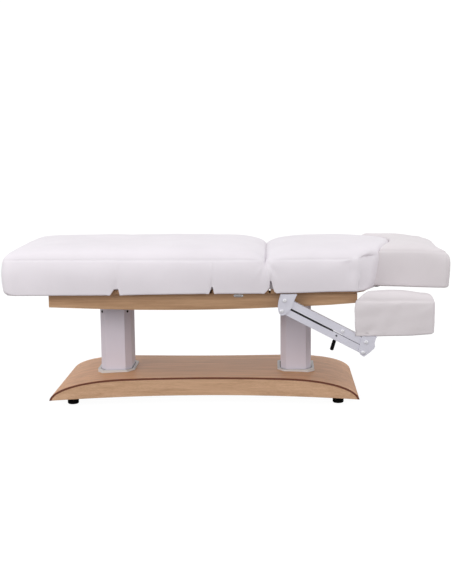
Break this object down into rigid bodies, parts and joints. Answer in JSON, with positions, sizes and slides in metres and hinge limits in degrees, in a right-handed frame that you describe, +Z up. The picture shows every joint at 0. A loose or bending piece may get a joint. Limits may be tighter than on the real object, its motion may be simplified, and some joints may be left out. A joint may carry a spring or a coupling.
{
  "type": "electric spa bed",
  "caption": "Upholstered electric spa bed: folding calf, thigh, seat and back pads, tilting head pad and drop armrests on telescoping columns over an arched wooden base.",
  "frame": {"origin": "on the floor under the middle of the whole bed's length and width", "axes": "+X along the bed towards the head end, +Y towards the side whose armrest is raised, +Z up"},
  "size_m": [1.9912, 0.768, 0.741],
  "materials": {
    "oak": "light oak veneer, satin lacquer",
    "plywood": "bare plywood",
    "column_paint": "pale grey satin powder coat",
    "collar_paint": "white moulded plastic, satin",
    "arm_paint": "pale lilac grey satin powder coat",
    "frame_paint": "dark grey powder coat",
    "bright_steel": "ground steel",
    "foot_rubber": "black moulded rubber",
    "grip_rubber": "black rubber grip on a steel strip",
    "black_plastic": "black moulded plastic",
    "upholstery": "white polyurethane-coated upholstery fabric (artificial leather), satin, fine grain"
  },
  "bodies": {
    "base": {"base_top_panel": "oak", "base_side_board_near": "oak", "base_side_board_far": "oak", "base_chassis": "frame_paint", "rubber_foot_foot_near": "foot_rubber", "rubber_foot_foot_far": "foot_rubber", "rubber_foot_head_near": "foot_rubber", "rubber_foot_head_far": "foot_rubber", "column_collar_foot": "collar_paint", "column_collar_head": "collar_paint", "column_inner_tube_foot": "bright_steel", "column_inner_tube_head": "bright_steel", "lift_spindle_foot": "bright_steel", "lift_spindle_head": "bright_steel", "power_inlet": "black_plastic"},
    "bed_frame": {"column_sleeve_foot": "column_paint", "column_sleeve_head": "column_paint", "column_head_plate_foot": "frame_paint", "column_head_plate_head": "frame_paint", "frame_rail_near": "frame_paint", "frame_rail_far": "frame_paint", "apron_near": "oak", "apron_far": "oak", "apron_foot_end": "oak", "apron_head_end": "oak", "control_box": "black_plastic", "seat_board": "plywood", "seat_cushion": "upholstery", "thigh_fold_wedge": "upholstery", "back_fold_wedge": "upholstery"},
    "back": {"back_board": "plywood", "back_cushion": "upholstery", "back_crossbar": "frame_paint", "back_rail_near": "frame_paint", "back_rail_far": "frame_paint", "arm_upper_bracket_near": "arm_paint", "arm_upper_bracket_far": "arm_paint", "head_hinge_bracket": "frame_paint"},
    "head": {"head_frame": "frame_paint", "head_board": "plywood", "head_cushion": "upholstery"},
    "thigh": {"thigh_board": "plywood", "thigh_cushion": "upholstery", "thigh_crossbar": "frame_paint"},
    "calf": {"calf_board": "plywood", "calf_cushion": "upholstery"},
    "back_actuator_body": {"back_actuator_housing": "black_plastic"},
    "back_actuator_plunger": {"back_actuator_rod": "bright_steel"},
    "leg_actuator_body": {"leg_actuator_housing": "black_plastic"},
    "leg_actuator_plunger": {"leg_actuator_rod": "bright_steel"},
    "near_upper_link": {"arm_upper_link_near": "arm_paint"},
    "near_lower_link": {"arm_lower_link_near": "arm_paint"},
    "near_armrest": {"arm_lower_bracket_near": "arm_paint", "arm_cushion_near": "upholstery"},
    "near_release_lever": {"arm_release_lever_near": "grip_rubber"},
    "far_upper_link": {"arm_upper_link_far": "arm_paint"},
    "far_lower_link": {"arm_lower_link_far": "arm_paint"},
    "far_armrest": {"arm_lower_bracket_far": "arm_paint", "arm_cushion_far": "upholstery"},
    "far_release_lever": {"arm_release_lever_far": "grip_rubber"}
  },
  "joints": [
    {"name": "lift", "type": "slide", "parent": "base", "child": "bed_frame", "axis": [0, 0, 1], "range_m": [0, 0.25]},
    {"name": "back_lift", "type": "hinge", "parent": "bed_frame", "child": "back", "pos_m": [0.1814, 0, 0.552], "axis": [0, -1, 0], "range_deg": [0, 65], "deforming": ["back_fold_wedge"]},
    {"name": "head_tilt", "type": "hinge", "parent": "back", "child": "head", "pos_m": [0.6874, 0, 0.54], "axis": [0, -1, 0], "range_deg": [-28, 7]},
    {"name": "thigh_lift", "type": "hinge", "parent": "bed_frame", "child": "thigh", "pos_m": [-0.0786, 0, 0.552], "axis": [0, 1, 0], "range_deg": [0, 28], "deforming": ["thigh_fold_wedge"]},
    {"name": "knee_bend", "type": "hinge", "parent": "thigh", "child": "calf", "pos_m": [-0.4976, 0, 0.552], "axis": [0, 1, 0], "range_deg": [-45, 0]},
    {"name": "back_actuator_swing", "type": "hinge", "parent": "bed_frame", "child": "back_actuator_body", "pos_m": [-0.4406, 0.135, 0.462], "axis": [0, -1, 0], "range_deg": [-3.4, 0.4]},
    {"name": "back_actuator_stroke", "type": "slide", "parent": "back_actuator_body", "child": "back_actuator_plunger", "axis": [0.9998, 0, 0.0183], "range_m": [0, 0.118]},
    {"name": "leg_actuator_swing", "type": "hinge", "parent": "bed_frame", "child": "leg_actuator_body", "pos_m": [0.2094, -0.135, 0.462], "axis": [0, 1, 0], "range_deg": [-6.6, 0.4]},
    {"name": "leg_actuator_stroke", "type": "slide", "parent": "leg_actuator_body", "child": "leg_actuator_plunger", "axis": [-0.9989, 0, 0.0469], "range_m": [0, 0.048]},
    {"name": "near_arm_raise", "type": "hinge", "parent": "back", "child": "near_upper_link", "pos_m": [0.2471, -0.361, 0.4999], "axis": [0, -1, 0], "range_deg": [0, 27.5]},
    {"name": "near_lower_link_swing", "type": "hinge", "parent": "back", "child": "near_lower_link", "pos_m": [0.2342, -0.361, 0.4525], "axis": [0, -1, 0], "range_deg": [0, 27.5]},
    {"name": "near_arm_level", "type": "hinge", "parent": "near_upper_link", "child": "near_armrest", "pos_m": [0.60607, -0.361, 0.31303], "axis": [0, -1, 0], "range_deg": [-27.5, 0]},
    {"name": "near_arm_release", "type": "hinge", "parent": "near_lower_link", "child": "near_release_lever", "pos_m": [0.47521, -0.344, 0.34136], "axis": [0, 1, 0], "range_deg": [0, 15], "stiffness_Nm_per_rad": 1, "springref_deg": -17.19},
    {"name": "far_arm_raise", "type": "hinge", "parent": "back", "child": "far_upper_link", "pos_m": [0.2471, 0.361, 0.4999], "axis": [0, -1, 0], "range_deg": [-27.5, 0]},
    {"name": "far_lower_link_swing", "type": "hinge", "parent": "back", "child": "far_lower_link", "pos_m": [0.2342, 0.361, 0.4525], "axis": [0, -1, 0], "range_deg": [-27.5, 0]},
    {"name": "far_arm_level", "type": "hinge", "parent": "far_upper_link", "child": "far_armrest", "pos_m": [0.6518, 0.361, 0.4999], "axis": [0, -1, 0], "range_deg": [0, 27.5]},
    {"name": "far_arm_release", "type": "hinge", "parent": "far_lower_link", "child": "far_release_lever", "pos_m": [0.4993, 0.344, 0.4652], "axis": [0, 1, 0], "range_deg": [0, 15], "stiffness_Nm_per_rad": 1, "springref_deg": -17.19}
  ],
  "couplings": [
    {"joint": "knee_bend", "follows": "thigh_lift", "ratio": -1.6},
    {"joint": "back_actuator_swing", "follows": "back_lift", "ratio": -0.0494},
    {"joint": "back_actuator_stroke", "follows": "back_lift", "m_per_rad": 0.1021},
    {"joint": "leg_actuator_swing", "follows": "thigh_lift", "ratio": -0.221},
    {"joint": "leg_actuator_stroke", "follows": "thigh_lift", "m_per_rad": 0.0954},
    {"joint": "near_lower_link_swing", "follows": "near_arm_raise", "ratio": 1},
    {"joint": "near_arm_level", "follows": "near_arm_raise", "ratio": -1},
    {"joint": "far_lower_link_swing", "follows": "far_arm_raise", "ratio": 1},
    {"joint": "far_arm_level", "follows": "far_arm_raise", "ratio": -1}
  ]
}
